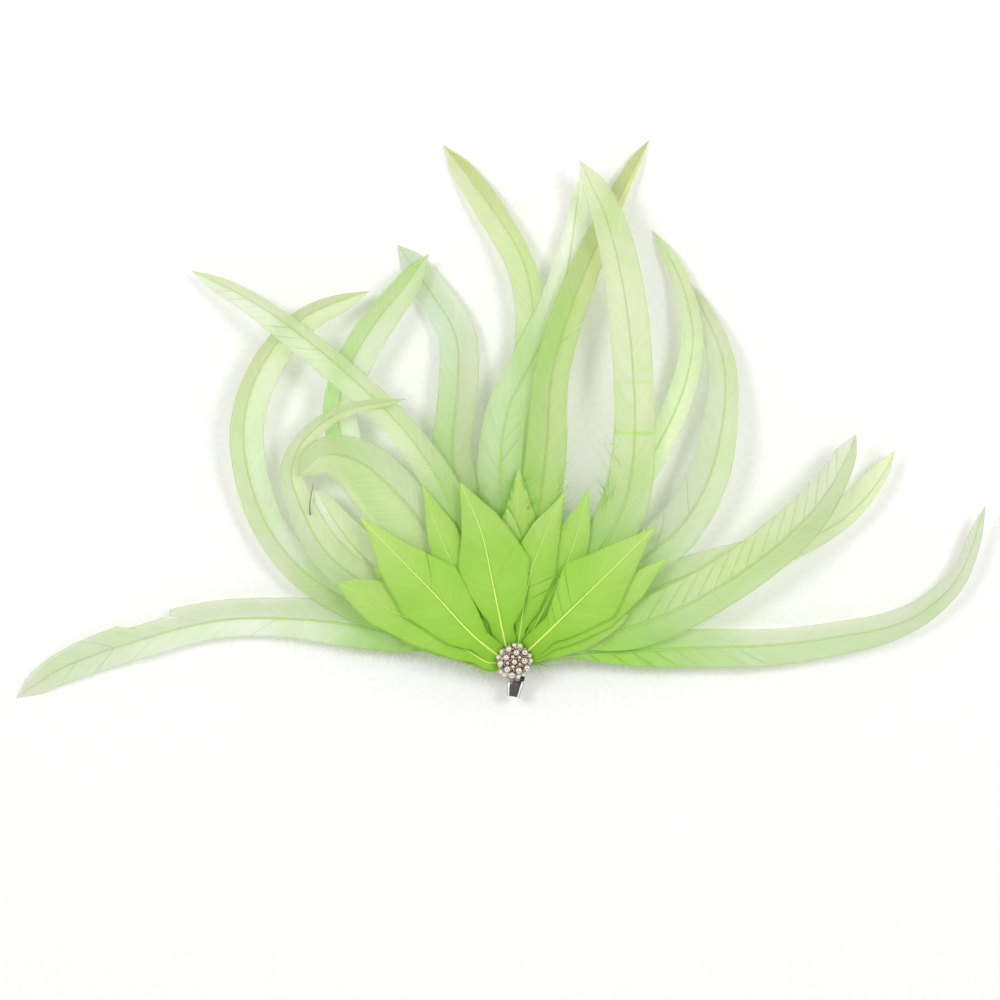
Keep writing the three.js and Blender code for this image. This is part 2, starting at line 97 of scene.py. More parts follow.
class Look:
    """A material and its node tree, built with few words."""

    def __init__(self, name):
        self.material = bpy.data.materials.new(name)
        self.material.use_nodes = True
        self.tree = self.material.node_tree
        self.tree.nodes.clear()

    def add(self, kind, inputs=None, **settings):
        node = self.tree.nodes.new("ShaderNode" + kind)
        for key, value in settings.items():
            setattr(node, key, value)
        for key, value in (inputs or {}).items():
            if isinstance(value, bpy.types.NodeSocket):
                self.tree.links.new(value, node.inputs[key])
            else:
                node.inputs[key].default_value = value
        return node

    def math(self, operation, a, b=0.0):
        return self.add("Math", {0: a, 1: b}, operation=operation).outputs[0]

    def ramp(self, value, low, high, start=0.0, end=1.0):
        """start to end, smoothly, as value goes from low to high."""
        inputs = {"Value": value, "From Min": low, "From Max": high, "To Min": start, "To Max": end}
        return self.add("MapRange", inputs, interpolation_type="SMOOTHSTEP").outputs[0]

    def mix(self, share, a, b, blend="MIX"):
        node = self.add("Mix", {0: share, 6: a, 7: b}, data_type="RGBA", blend_type=blend)
        return node.outputs[2]

    def noise(self, vector, scale, detail=2.0, roughness=0.5):
        inputs = {"Vector": vector, "Scale": scale, "Detail": detail, "Roughness": roughness}
        return self.add("TexNoise", inputs).outputs[0]

    def bump(self, height, strength, distance):
        inputs = {"Height": height, "Strength": strength, "Distance": distance}
        return self.add("Bump", inputs).outputs[0]

    def finish(self, shader):
        output = self.add("OutputMaterial")
        self.tree.links.new(shader.outputs[0], output.inputs[0])
        return self.material


def vane_look(name, root, sides, body, shade, bars, through, relief):
    """A feather's vane: sides are the colours of its middle and its tip, left of the shaft and right of it, each the
    feather's own tint with painted shade in it for the way that side tilts to the light.

    body is how solid the vane is by its shaft and at its edge; near its root it is all solid. bars are
    the growth bars across it, as (share of the length, strength), through is the share of light that the
    vane lets through softly, and relief is how strongly its barbs catch the light.
    """
    look = Look(name)
    barb = look.add("SeparateXYZ", {0: look.add("UVMap", uv_map="barb").outputs[0]})
    place = look.add("SeparateXYZ", {0: look.add("UVMap", uv_map="place").outputs[0]})
    across = look.math("ABSOLUTE", barb.outputs[1])
    wide = look.add("CombineXYZ", {0: look.math("MULTIPLY", barb.outputs[0], 0.5), 1: barb.outputs[1]})
    fine = look.add("CombineXYZ", {0: look.math("MULTIPLY", barb.outputs[0], 3.0), 1: barb.outputs[1]})
    coarse_streak = look.noise(wide.outputs[0], 1.0, 2.0)
    fine_streak = look.noise(fine.outputs[0], 1.0, 3.0, 0.6)
    position = look.add("TexCoord").outputs["Object"]
    wash = look.noise(position, 28.0, 1.5)
    patch = look.noise(position, 75.0, 2.0)

    left, right = (look.mix(look.ramp(place.outputs[0], 0.5, 0.9), middle, tip) for middle, tip in sides)
    # left against right across the shaft: the feather's tint, with painted shade for each side's tilt
    colour = look.mix(look.ramp(barb.outputs[1], -0.35, 0.35), left, right)
    colour = look.mix(look.ramp(place.outputs[0], 0.44, 0.12), colour, root)
    colour = look.mix(look.ramp(wash, 0.4, 0.68, 0.0, shade), colour, root)
    dim = look.ramp(coarse_streak, 0.3, 0.7, 0.975, 1.0)
    dim = look.math("MULTIPLY", dim, look.ramp(fine_streak, 0.25, 0.6, 0.975, 1.0))
    grey = look.add("CombineColor", {0: dim, 1: dim, 2: dim}).outputs[0]
    colour = look.mix(1.0, colour, grey, "MULTIPLY")
    for place_along, strength in bars:
        away = look.math("ABSOLUTE", look.math("SUBTRACT", place.outputs[0], place_along))
        wobble = look.math("MULTIPLY", look.math("SUBTRACT", patch, 0.5), 0.014)
        bar = look.ramp(look.math("ADD", away, wobble), 0.0, 0.005, strength, 0.0)
        colour = look.mix(bar, colour, root)

    solid = look.ramp(across, 0.3, 1.0, body[0], body[1])
    solid = look.math("ADD", solid, look.ramp(coarse_streak, 0.3, 0.7, -0.012, 0.012))
    solid = look.math("ADD", solid, look.ramp(patch, 0.3, 0.7, -0.02, 0.02))
    solid = look.math("ADD", solid, look.ramp(place.outputs[0], 0.36, 0.14, 0.0, 1 - body[0]))
    solid = look.math("MINIMUM", look.math("MAXIMUM", solid, 0.03), 1.0)

    bump = look.bump(look.math("ADD", coarse_streak, fine_streak), relief, 0.0003)
    rough = look.ramp(fine_streak, 0.3, 0.7, 0.62, 0.48)
    front = look.add("BsdfPrincipled", {"Base Color": colour, "Roughness": rough, "Normal": bump})
    front.inputs["Sheen Weight"].default_value = 0.1
    front.inputs["Specular IOR Level"].default_value = 0.3
    soft = look.add("BsdfTranslucent", {"Color": colour, "Normal": bump})
    vane = look.add("MixShader", {0: through, 1: front.outputs[0], 2: soft.outputs[0]})
    clear = look.add("BsdfTransparent", {"Color": look.mix(0.15, (1.0, 1.0, 1.0, 1.0), colour)})
    return look.finish(look.add("MixShader", {0: solid, 1: clear.outputs[0], 2: vane.outputs[0]}))


def shaft_look(name, base, tip):
    """A feather's shaft: horn-like, with fine lengthwise grain."""
    look = Look(name)
    barb = look.add("SeparateXYZ", {0: look.add("UVMap", uv_map="barb").outputs[0]})
    place = look.add("SeparateXYZ", {0: look.add("UVMap", uv_map="place").outputs[0]})
    grain_at = look.add("CombineXYZ", {0: look.math("MULTIPLY", barb.outputs[0], 0.12), 1: barb.outputs[1]})
    grain = look.noise(grain_at.outputs[0], 6.0, 3.0)
    colour = look.mix(look.ramp(place.outputs[0], 0.2, 0.9), base, tip)
    colour = look.mix(look.ramp(grain, 0.35, 0.7, 0.0, 0.35), colour, tip)
    shader = look.add(
        "BsdfPrincipled",
        {"Base Color": colour, "Roughness": look.ramp(grain, 0.3, 0.7, 0.3, 0.45), "Normal": look.bump(grain, 0.3, 0.0002)},
    )
    shader.inputs["Coat Weight"].default_value = 0.2
    return look.finish(shader)


# ---- a feather's line, read from its CAD solid ----


def merged(node):
    """A node's points with doubles merged, and the set of points joined to each."""
    mesh = nodes[node].data
    index, points, where = {}, [], []
    for vertex in mesh.vertices:
        key = tuple(round(c * 1e6) for c in vertex.co)
        if key not in index:
            index[key] = len(points)
            points.append(tuple(vertex.co))
        where.append(index[key])
    joined = [set() for _ in points]
    for edge in mesh.edges:
        a, b = (where[i] for i in edge.vertices)
        if a != b:
            joined[a].add(b)
            joined[b].add(a)
    return np.array(points), joined


def rings_of(node):
    """A feather solid's rings of six points from its root, which is nearest the middle, to its tip."""
    points, joined = merged(node)
    order = sorted(range(len(points)), key=lambda i: math.hypot(*points[i][:2]))
    ring = set(order[:6])
    seen, rings = set(ring), []
    while ring:
        rings.append(points[sorted(ring)])
        ring = set().union(*(joined[i] for i in ring)) - seen
        seen |= ring
    return rings


def unit(vectors):
    return vectors / np.linalg.norm(vectors, axis=-1, keepdims=True)


def smooth(rows, t):
    """Catmull-Rom through evenly spaced rows, at t counted in rows."""
    padded = np.vstack([2 * rows[0] - rows[1], rows, 2 * rows[-1] - rows[-2]])
    i = np.clip(np.floor(t).astype(int), 0, len(rows) - 2)
    x = (t - i)[..., None]
    a, b, c, d = padded[i], padded[i + 1], padded[i + 2], padded[i + 3]
    return 0.5 * (2 * b + (c - a) * x + (2 * a - 5 * b + 4 * c - d) * x**2 + (3 * b - a - 3 * c + d) * x**3)


class Feather:
    """The shaft line and the vane's reach to either side, as functions of the distance from the root."""

    def __init__(self, node, trimmed, straight=0.0):
        self.trimmed = trimmed
        rings = rings_of(node)
        middles = np.array([ring.mean(0) for ring in rings])
        for _ in range(2):
            side = unit(np.cross(np.gradient(middles, axis=0), UP))
            shaft, reach = [], []
            for ring, middle, across in zip(rings[:-1], middles, side):
                ranked = ring[np.argsort((ring - middle) @ across)]
                centre = ranked[2:4].mean(0)
                shaft.append(centre)
                reach.append(((centre - ranked[:2].mean(0)) @ across, (ranked[4:].mean(0) - centre) @ across))
            shaft.append(rings[-1].mean(0))
            middles = np.array(shaft)
        self.shaft = middles
        self.reaches = np.array([*reach, (0.0, 0.0)])
        self.rows = len(middles) - 1
        steps = np.linalg.norm(np.diff(self.shaft, axis=0), axis=1)
        self.length = float(steps.sum())
        if straight:
            self.straighten(np.append(0.0, np.cumsum(steps)), straight)

    def straighten(self, s, straight):
        """Leads the shaft's root in from the distance straight without a double bend."""
        last = int(np.searchsorted(s, straight))
        start, end = self.shaft[0, :2].copy(), self.shaft[last, :2].copy()
        heading = self.shaft[last + 1, :2] - self.shaft[last - 1, :2]
        heading = heading / np.linalg.norm(heading)
        bend = end - heading * np.linalg.norm(end - start) * 0.5
        t = (s[: last + 1] / s[last])[:, None]
        self.shaft[: last + 1, :2] = (1 - t) ** 2 * start + 2 * t * (1 - t) * bend + t**2 * end

    def frame(self, s):
        """Points on the shaft at distances s, with the directions along, to the right and up."""
        t = np.clip(np.asarray(s, float) / self.length, 0, 1) * self.rows
        at = smooth(self.shaft, t)
        step = 0.05
        along = unit(smooth(self.shaft, np.minimum(t + step, self.rows)) - smooth(self.shaft, np.maximum(t - step, 0)))
        side = unit(np.cross(along, UP))
        return at, along, side, np.cross(side, along)

    def reach(self, s, side):
        """How far the vane reaches at distances s: side is -1 for the left and 1 for the right."""
        column = self.reaches[:, 0 if side < 0 else 1]
        t = np.clip(np.asarray(s, float) / self.length, 0, 1) * self.rows
        if self.trimmed:
            return np.interp(t, np.arange(len(column)), column)
        return np.maximum(smooth(column[:, None], t)[..., 0], 0.0)


# ---- feather meshes ----


class Parts:
    """Vertices, faces, materials and both UV maps of one mesh, gathered piece by piece."""

    def __init__(self):
        self.points, self.faces, self.slots, self.barb, self.place = [], [], [], [], []
        self.count = 0

    def add(self, points, faces, slot, barb, place):
        self.points.append(points)
        self.faces.append(np.asarray(faces) + self.count)
        self.slots.extend([slot] * len(faces))
        self.barb.append(barb)
        self.place.append(place)
        self.count += len(points)

    def build(self, name, looks):
        mesh = bpy.data.meshes.new(name)
        faces = [face.tolist() for block in self.faces for face in block]
        mesh.from_pydata(np.vstack(self.points).tolist(), [], faces)
        loops = np.zeros(len(mesh.loops), int)
        mesh.loops.foreach_get("vertex_index", loops)
        for layer, values in (("barb", self.barb), ("place", self.place)):
            uv = mesh.uv_layers.new(name=layer)
            uv.data.foreach_set("uv", np.vstack(values)[loops].astype(np.float32).ravel())
        mesh.polygons.foreach_set("material_index", self.slots)
        mesh.polygons.foreach_set("use_smooth", [True] * len(faces))
        for look in looks:
            mesh.materials.append(look)
        obj = bpy.data.objects.new(name, mesh)
        scene.collection.objects.link(obj)
        return obj


def sheet_faces(columns, rows, flip):
    """Faces of a closed thin sheet whose top grid of points is followed by its bottom grid."""
    index = np.arange(columns * rows).reshape(columns, rows)
    a, b, c, d = index[:-1, :-1], index[:-1, 1:], index[1:, 1:], index[1:, :-1]
    top = np.stack([a, b, c, d], -1).reshape(-1, 4)
    bottom = top[:, ::-1] + columns * rows
    rim = [*index[0, :], *index[1:, -1], *index[-1, -2::-1], *index[-2:0:-1, 0]]
    rim = np.array(rim)
    after = np.roll(rim, -1)
    wall = np.stack([after, rim, rim + columns * rows, after + columns * rows], -1)
    faces = np.vstack([top, bottom, wall])
    return faces[:, ::-1] if flip else faces


def tube(parts, line, radii, slot, barb_x, along, sides=6, flat=1.0):
    """A closed tapered tube along line, with one point at each end."""
    line = np.asarray(line, float)
    radii = np.asarray(radii, float)[:, None]
    along_line = unit(np.gradient(line, axis=0))
    side = np.cross(along_line, UP)
    weak = np.linalg.norm(side, axis=1) < 1e-3
    side[weak] = (1.0, 0.0, 0.0)
    side = unit(side)
    up = np.cross(side, along_line)
    turns = np.linspace(0, 2 * math.pi, sides, endpoint=False)
    rings = [line + radii * (math.cos(a) * side + flat * math.sin(a) * up) for a in turns]
    count = len(line)
    points = np.stack(rings, 1).reshape(-1, 3)
    points = np.vstack([points, line[0], line[-1]])
    faces = []
    for i in range(count - 1):
        for k in range(sides):
            a, b = i * sides + k, i * sides + (k + 1) % sides
            faces.append((a, b, b + sides, a + sides))
    root, tip = count * sides, count * sides + 1
    quads = np.array(faces)
    caps = []
    for k in range(sides):
        caps.append((root, (k + 1) % sides, k))
        caps.append((tip, (count - 1) * sides + k, (count - 1) * sides + (k + 1) % sides))
    barb_x = np.broadcast_to(barb_x, (count,))
    along = np.broadcast_to(along, (count,))
    barb = np.stack([np.repeat(barb_x, sides), np.tile(np.cos(turns), count)], -1)
    place = np.stack([np.repeat(along, sides), np.tile(np.sin(turns), count)], -1)
    ends = np.array([(barb_x[0], 0.0), (barb_x[-1], 0.0)])
    far = np.array([(along[0], 0.0), (along[-1], 0.0)])
    parts.add(points, quads[:, ::-1], slot, np.vstack([barb, ends]), np.vstack([place, far]))
    parts.faces.append(np.array(caps)[:, ::-1] + parts.count - len(points))
    parts.slots.extend([slot] * len(caps))


def locks_of(feather, side, style, rng):
    """Yields the vane on one side of the shaft as locks: (points, shaft distance, across, place along)."""
    spacing = style["spacing"] * MM
    lean = style["lean"]
    rows = style["rows"]
    first = style["bare"] * MM
    splits = sorted(s for s in style["splits"] if s[0] == side)
    notches = [n for n in style["notches"] if n[0] == side]
    starts = np.append(np.arange(first, feather.length * 0.99, spacing), feather.length)
    wave_phase = rng.uniform(0, 2 * math.pi)
    wave_length = rng.uniform(0.045, 0.07)
    roughness = np.array([rng.uniform(-1, 1) for _ in range(len(starts) + 1)])
    roughness = np.convolve(roughness, (0.25, 0.5, 0.25), "same")
    cuts = [feather.length * share for _, share, _, _ in splits]
    edges = [first, *cuts, starts[-1]]
    for run, (begin, end) in enumerate(zip(edges[:-1], edges[1:])):
        inside = starts[(starts > begin + 0.3 * spacing) & (starts < end - 0.3 * spacing)]
        roots = np.array([begin, *inside, end])
        v = np.linspace(0, 1, rows + 1)[None, :]
        edge_at = np.minimum(roots + lean * feather.reach(roots, side), feather.length)
        widened = style["wide"][0 if side < 0 else 1] - 1
        reach = feather.reach(edge_at, side) * (1 + widened * np.sin(math.pi * edge_at / feather.length))
        reach = reach * (1 + style["ragged"] * np.interp(roots, starts, roughness[:-1]))
        at_base = np.clip(roots / (3 * MM), 0, 1) * np.clip((style["base_length"] * MM - roots) / (8 * MM), 0, 1)
        reach = np.maximum(reach, style["base_reach"] * MM * at_base)
        for _, low, high, scale in notches:
            share = edge_at / feather.length
            depth = np.clip(np.minimum((share - low) / 0.004, (high - share) / 0.02), 0, 1)
            reach = reach * (1 - (1 - scale) * depth)
        s = roots[:, None] + (edge_at - roots)[:, None] * v**1.25
        for cut, (_, _, depth, opening) in zip(cuts, splits):
            away = roots - cut
            pull = np.where(away > 0, 0.65, -0.35) * opening * MM * np.exp(-np.abs(away) / 0.009)
            if begin < cut < end:
                continue
            if abs(begin - cut) < 1e-9:
                pull = np.where(away >= -1e-9, 0.65 * opening * MM * np.exp(-np.abs(away) / 0.009), 0)
            elif abs(end - cut) < 1e-9:
                pull = -0.35 * opening * MM * np.exp(-np.abs(away) / 0.009)
            else:
                continue
            outer = np.clip((v - depth) / (1 - depth), 0, 1) ** 1.3
            s = s + pull[:, None] * outer
        s = np.minimum(s, feather.length)
        at, along, across, up = feather.frame(s)
        sideways = reach[:, None] * v
        drop = -0.06 * sideways * v
        wave = style["wave"] * MM * np.sin(2 * math.pi * s / wave_length + wave_phase) * v**2
        lift = style["lift"] * MM * np.clip(s / (4 * MM), 0, 1) * np.clip((40 * MM - s) / (20 * MM), 0, 1)
        fret = style["fret"] * MM * np.interp(roots, starts, roughness[:-1])[:, None] * v
        curl = style["curl"][0 if side < 0 else 1] * MM * v**2 * np.sin(math.pi * s / feather.length)
        height = drop + wave + fret + curl + lift + (run % 2) * 0.35 * MM * v
        top = at + across * (side * sideways)[..., None] + up * height[..., None]
        top[..., 2] = np.maximum(top[..., 2], 0.35 * MM)
        thick = (0.16 - 0.08 * v + 0 * s) * MM
        yield top, up * thick[..., None], roots, side * v + 0 * s, s / feather.length


def feather_piece(name, node, style, looks, trimmed=False):
    """One feather as a piece: locks of barbs to either side of a tapered shaft."""
    rng = random.Random(name)
    feather = Feather(node, trimmed, style["straight"] * MM)
    parts = Parts()
    for side in (-1, 1):
        for top, down, roots, across, along in locks_of(feather, side, style, rng):
            columns, rows = top.shape[:2]
            points = np.vstack([top.reshape(-1, 3), (top - down).reshape(-1, 3)])
            barb = np.stack([np.repeat(roots / MM, rows), across.ravel()], -1)
            place = np.stack([along.ravel(), np.zeros(columns * rows)], -1)
            faces = sheet_faces(columns, rows, side < 0)
            parts.add(points, faces, 0, np.vstack([barb, barb]), np.vstack([place, place]))
    s = np.linspace(0, feather.length * 0.985, style["shaft_points"])
    at, _, _, up = feather.frame(s)
    share = s / feather.length
    radius = style["shaft"] * MM * (1 - 0.8 * share**0.8)
    lift = style["lift"] * MM * np.clip(s / (4 * MM), 0, 1) * np.clip((40 * MM - s) / (20 * MM), 0, 1)
    tube(parts, at + up * (0.05 * MM + lift)[:, None], radius, 1, s / MM, share, sides=8, flat=0.8)
    piece = parts.build(name, looks)
    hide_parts(node)
    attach(piece, "headpiece")
    return piece


# ---- plumes ----

ROOT_GREEN = srgb(186, 236, 104)

PLUME = {
    "spacing": 1.5,
    "lean": 1.55,
    "rows": 7,
    "bare": 1.0,
    "base_reach": 2.6,
    "base_length": 24.0,
    "lift": 0.0,
    "straight": 0.0,
    "wide": (1.0, 1.0),
    "ragged": 0.006,
    "fret": 0.03,
    "wave": 0.5,
    "curl": (0.0, 0.0),
    "splits": (),
    "notches": (),
    "shaft": 0.45,
    "shaft_points": 70,
    "body": (0.62, 0.55),
    "through": 0.35,
    "relief": 0.07,
    "root": ROOT_GREEN,
    "shade": 0.2,
    "bars": (),
    "shaft_colours": (srgb(176, 222, 100), srgb(186, 214, 120)),
}

LEFT, RIGHT = -1, 1

# what sets each plume apart; a split is (side, share of the length, depth from the shaft, opening in mm),
# where a negative opening is an overlap,
# and a notch (side, from share, to share, what is left of the reach)
# sides hold each plume's tints with painted shade in them: a side's colour is darker or lighter for its tilt to the
# light
plume_styles = {
    1: {
        "sides": ((srgb(246, 254, 236), srgb(238, 246, 224)), (srgb(230, 238, 214), srgb(234, 242, 220))),
        "splits": (
            (RIGHT, 0.6, 0.3, 3.0),
            (RIGHT, 0.72, 0.3, -1.2),
            (RIGHT, 0.78, 0.4, -1.0),
            (LEFT, 0.45, 0.5, -1.0),
            (LEFT, 0.7, 0.4, 1.5),
            (LEFT, 0.78, 0.4, 1.0),
            (LEFT, 0.86, 0.4, -1.2),
        ),
        "notches": ((RIGHT, 0.655, 0.76, 0.72),),
    },
    2: {
        "sides": ((srgb(228, 236, 204), srgb(214, 222, 176)), (srgb(240, 248, 228), srgb(238, 246, 212))),
    },
    3: {
        "sides": ((srgb(248, 254, 200), srgb(248, 254, 236)), (srgb(246, 254, 222), srgb(240, 248, 212))),
    },
    4: {
        "sides": ((srgb(226, 236, 206), srgb(218, 228, 190)), (srgb(236, 244, 208), srgb(232, 240, 196))),
        "body": (0.68, 0.6),
    },
    5: {
        "sides": ((srgb(208, 242, 174), srgb(206, 228, 166)), (srgb(246, 254, 236), srgb(228, 238, 206))),
    },
    6: {
        "sides": ((srgb(244, 252, 216), srgb(224, 244, 196)), (srgb(244, 252, 194), srgb(248, 254, 246))),
    },
    7: {
        "sides": ((srgb(240, 254, 202), srgb(230, 242, 196)), (srgb(238, 246, 220), srgb(218, 232, 184))),
        "wide": (1.75, 1.0),
    },
    8: {
        "sides": ((srgb(236, 246, 212), srgb(240, 248, 228)), (srgb(226, 238, 198), srgb(226, 234, 200))),
        "splits": tuple((LEFT, 0.66 + 0.035 * i, 0.5, -0.7) for i in range(8)),
    },
    9: {
        "sides": ((srgb(210, 234, 174), srgb(236, 244, 234)), (srgb(220, 228, 190), srgb(236, 244, 226))),
    },
    10: {
        "sides": ((srgb(222, 242, 196), srgb(252, 254, 242)), (srgb(224, 246, 192), srgb(250, 254, 236))),
        "body": (0.64, 0.52),
        "splits": ((RIGHT, 0.42, 0.4, -1.2), (RIGHT, 0.38, 0.4, -1.2), (LEFT, 0.42, 0.4, -1.2), (LEFT, 0.36, 0.4, -1.2)),
    },
    11: {
        "sides": ((srgb(224, 238, 192), srgb(238, 243, 206)), (srgb(228, 248, 190), srgb(216, 228, 164))),
    },
    12: {
        "sides": ((srgb(206, 230, 158), srgb(208, 220, 158)), (srgb(214, 230, 166), srgb(232, 238, 172))),
        "root": srgb(186, 240, 96),
        "splits": ((RIGHT, 0.575, 0.3, 2.2),),
        "shaft_colours": (srgb(176, 196, 96), srgb(186, 204, 116)),
    },
    13: {
        "sides": ((srgb(230, 238, 202), srgb(234, 242, 210)), (srgb(232, 240, 202), srgb(230, 238, 202))),
        "bars": ((0.47, 0.6), (0.485, 0.2), (0.565, 0.3), (0.59, 0.12), (0.8, 0.1), (0.84, 0.1)),
    },
    14: {
        "sides": ((srgb(236, 254, 210), srgb(232, 240, 210)), (srgb(242, 254, 216), srgb(232, 240, 206))),
    },
    15: {
        "sides": ((srgb(224, 232, 204), srgb(230, 238, 214)), (srgb(226, 240, 202), srgb(224, 232, 196))),
        "splits": ((LEFT, 0.3, 0.4, -1.2), (LEFT, 0.36, 0.4, -1.2), (LEFT, 0.46, 0.4, -1.2)),
    },
    16: {
        "sides": ((srgb(230, 242, 202), srgb(240, 248, 214)), (srgb(228, 246, 194), srgb(236, 244, 210))),
    },
    17: {
        "sides": ((srgb(230, 244, 196), srgb(228, 236, 210)), (srgb(220, 238, 186), srgb(212, 224, 184))),
        "splits": tuple((LEFT, 0.3 + 0.045 * i, 0.3, -1.3) for i in range(14)),
    },
    18: {
        "sides": ((srgb(232, 240, 214), srgb(222, 230, 208)), (srgb(220, 238, 194), srgb(222, 230, 202))),
        "splits": tuple((RIGHT, 0.12 + 0.04 * i, 0.5, -1.2) for i in range(8)),
    },
}


def dressed(name, node, style, trimmed=False):
    """A feather piece with looks made from its style."""
    parts = (style[key] for key in ("root", "sides", "body", "shade", "bars", "through", "relief"))
    vane = vane_look(f"{name}_vane", *parts)
    shaft = shaft_look(f"{name}_shaft", *style["shaft_colours"])
    feather_piece(name, node, style, [vane, shaft], trimmed)


for number, changes in plume_styles.items():
    dressed(f"plume_feather_{number:02d}", f"plume_{number:02d}", {**PLUME, **changes})

# ---- cover feathers ----

LIME = srgb(190, 236, 102)
DEEP_LIME = srgb(166, 224, 68)
TIP_LIME = srgb(205, 236, 136)

COVER = {
    **PLUME,
    "spacing": 1.0,
    "lean": 0.9,
    "rows": 8,
    "bare": 0.5,
    "base_reach": 2.8,
    "base_length": 22.0,
    "ragged": 0.01,
    "fret": 0.08,
    "wave": 0.3,
    "shaft": 0.4,
    "shaft_points": 40,
    "body": (0.9, 0.8),
    "root": DEEP_LIME,
    "sides": ((LIME, TIP_LIME), (LIME, TIP_LIME)),
    "through": 0.3,
    "relief": 0.12,
    "shaft_colours": (srgb(214, 246, 110), srgb(222, 250, 140)),
}

# the covers that lie over the others, whose wide bases hide their neighbours' quills
UPPER = {"base_reach": 6.5, "base_length": 44.0, "lift": 1.0, "straight": 30.0, "shaft": 0.65}

cover_styles = {
    1: {},
    2: {"base_reach": 4.0, "lift": 0.3},
    3: {"splits": ((RIGHT, 0.62, 0.2, 1.0),)},
    4: {**UPPER, "splits": ((RIGHT, 0.5, 0.35, 0.6),)},
    5: {},
    6: {**UPPER},
    7: {},
    8: {},
    9: {"splits": ((RIGHT, 0.3, 0.15, 0.5), (RIGHT, 0.38, 0.2, 0.5), (LEFT, 0.45, 0.2, 0.5))},
    10: {"splits": ((LEFT, 0.42, 0.1, 0.9), (LEFT, 0.3, 0.1, 0.5))},
    11: {
        **UPPER,
        "splits": ((LEFT, 0.2, 0.1, 0.4), (LEFT, 0.25, 0.15, 0.7), (LEFT, 0.31, 0.2, 0.5), (LEFT, 0.38, 0.15, 0.4)),
    },
    12: {"base_reach": 4.0, "lift": 0.5},
    13: {},
}

for number, changes in cover_styles.items():
    name, node = f"cover_piece_{number:02d}", f"cover_feather_{number:02d}"
    dressed(name, node, {**COVER, **changes}, trimmed=True)

# ---- pearl button ----


def object_coords(look):
    return look.add("TexCoord").outputs["Object"]


def metal_look(name, bright, dull, rough, grain=900.0, streaks=None, metallic=1.0):
    """Plated metal with fine wear: grain is its spots per metre, and streaks stretch it along an axis."""
    look = Look(name)
    at = object_coords(look)
    if streaks is not None:
        at = look.add("Mapping", {"Vector": at, "Scale": streaks}).outputs[0]
    fine = look.noise(at, grain, 3.0)
    broad = look.noise(at, grain * 0.2, 2.0)
    colour = look.mix(look.ramp(broad, 0.35, 0.65), bright, dull)
    inputs = {
        "Base Color": colour,
        "Metallic": metallic,
        "Roughness": look.ramp(fine, 0.3, 0.7, rough * 0.7, rough * 1.4),
        "Normal": look.bump(fine, 0.12, 0.00005),
    }
    return look.finish(look.add("BsdfPrincipled", inputs))


def pearl_look():
    """Nacre: soft cream with a faint rose and green bloom under a clear skin, turning dark brown towards its rim as
    painted shade.
    """
    look = Look("pearl_nacre")
    at = object_coords(look)
    bloom = look.noise(at, 420.0, 2.0)
    skin = look.noise(at, 2200.0, 2.0)
    rim_shade_mask = look.add("LayerWeight", {"Blend": 0.35}).outputs["Facing"]
    colour = look.mix(look.ramp(bloom, 0.35, 0.65), srgb(232, 225, 215), srgb(212, 202, 192))
    # painted shade: the colour turns dark brown towards the pearl's rim, where it faces away
    colour = look.mix(look.ramp(rim_shade_mask, 0.2, 0.9, 0.0, 0.95), colour, srgb(112, 94, 78))
    shader = look.add(
        "BsdfPrincipled",
        {"Base Color": colour, "Roughness": look.ramp(skin, 0.3, 0.7, 0.1, 0.16), "Normal": look.bump(skin, 0.06, 0.00003)},
    )
    shader.inputs["Coat Weight"].default_value = 1.0
    shader.inputs["Coat Roughness"].default_value = 0.03
    shader.inputs["Metallic"].default_value = 0.85
    return look.finish(shader)


def stone_look():
    """Cut glass with a mirror back: bright facets with a few dark ones, a painted reflection made of Voronoi cells of
    near-white and greyer colour.
    """
    look = Look("cut_stone")
    cell = look.add("TexVoronoi", {"Vector": object_coords(look), "Scale": 1500.0}).outputs["Distance"]
    # painted reflection: facets lit or dark, as cells of near-white and greyer colour
    colour = look.mix(look.ramp(cell, 0.1, 0.7), srgb(254, 253, 250), srgb(226, 220, 214))
    shader = look.add(
        "BsdfPrincipled",
        {"Base Color": colour, "Metallic": 0.1, "Roughness": look.ramp(cell, 0.0, 0.8, 0.06, 0.16)},
    )
    shader.inputs["Coat Weight"].default_value = 1.0
    shader.inputs["Coat Roughness"].default_value = 0.02
    return look.finish(shader)


def mesh_piece(name, points, faces, look, smooth_faces=True):
    mesh = bpy.data.meshes.new(name)
    mesh.from_pydata([tuple(p) for p in points], [], [tuple(f) for f in faces])
    mesh.polygons.foreach_set("use_smooth", [smooth_faces] * len(mesh.polygons))
    mesh.materials.append(look)
    obj = bpy.data.objects.new(name, mesh)
    scene.collection.objects.link(obj)
    return obj


def turned(profile, segments, centre, radius_jitter=None):
    """A closed body turned about Z: profile is (radius, height) from its lower to its upper end."""
    points, faces = [], []
    for r, z in profile:
        for k in range(segments):
            turn = 2 * math.pi * k / segments
            reach = r * (radius_jitter(turn, z) if radius_jitter else 1.0)
            points.append((centre[0] + reach * math.cos(turn), centre[1] + reach * math.sin(turn), centre[2] + z))
    for i in range(len(profile) - 1):
        for k in range(segments):
            a, b = i * segments + k, i * segments + (k + 1) % segments
            faces.append((a, b, b + segments, a + segments))
    low, high = len(points), len(points) + 1
    points.append((centre[0], centre[1], centre[2] + profile[0][1]))
    points.append((centre[0], centre[1], centre[2] + profile[-1][1]))
    last = (len(profile) - 1) * segments
    for k in range(segments):
        faces.append((low, (k + 1) % segments, k))
        faces.append((high, last + k, last + (k + 1) % segments))
    return points, faces


